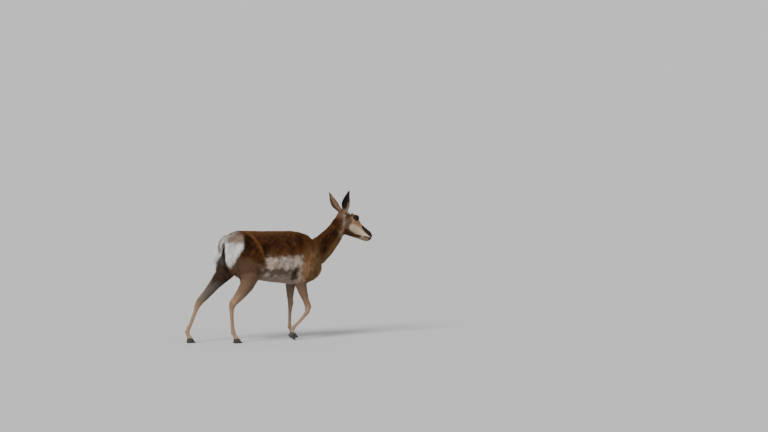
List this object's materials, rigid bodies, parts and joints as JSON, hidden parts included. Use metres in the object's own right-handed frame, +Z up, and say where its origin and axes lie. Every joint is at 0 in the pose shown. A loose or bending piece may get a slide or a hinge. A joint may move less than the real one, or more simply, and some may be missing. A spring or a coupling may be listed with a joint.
{
  "type": "pronghorn",
  "caption": "Life-size pronghorn doe in a walking step, head raised and ears turned back, standing on its own hooves.",
  "frame": {"origin": "on the floor under the middle of the animal's length, between the left and right legs", "axes": "+X forward from tail to nose, +Y to the animal's left, +Z up"},
  "size_m": [1.523, 0.2618, 1.1248],
  "materials": {
    "coat": "short rough hair, brown above, white on the rump, flank and cheek",
    "skin": "bare dark skin of the nose, lips and lids",
    "horn": "satin black-brown horn",
    "eye": "wet gloss"
  },
  "bodies": {
    "root": {"trunk": "coat", "neck": "coat", "head": "coat", "tail": "coat", "ear_left": "coat", "ear_right": "coat", "horn_left": "horn", "horn_right": "horn", "eye_left": "eye", "eye_right": "eye", "forearm_fore_left": "coat", "cannon_fore_left": "coat", "pastern_fore_left": "coat", "hoof_fore_left_outer": "horn", "hoof_fore_left_inner": "horn", "forearm_fore_right": "coat", "cannon_fore_right": "coat", "pastern_fore_right": "coat", "hoof_fore_right_outer": "horn", "hoof_fore_right_inner": "horn", "thigh_hind_left": "coat", "cannon_hind_left": "coat", "pastern_hind_left": "coat", "hoof_hind_left_outer": "horn", "hoof_hind_left_inner": "horn", "thigh_hind_right": "coat", "cannon_hind_right": "coat", "pastern_hind_right": "coat", "hoof_hind_right_outer": "horn", "hoof_hind_right_inner": "horn"}
  },
  "joints": []
}
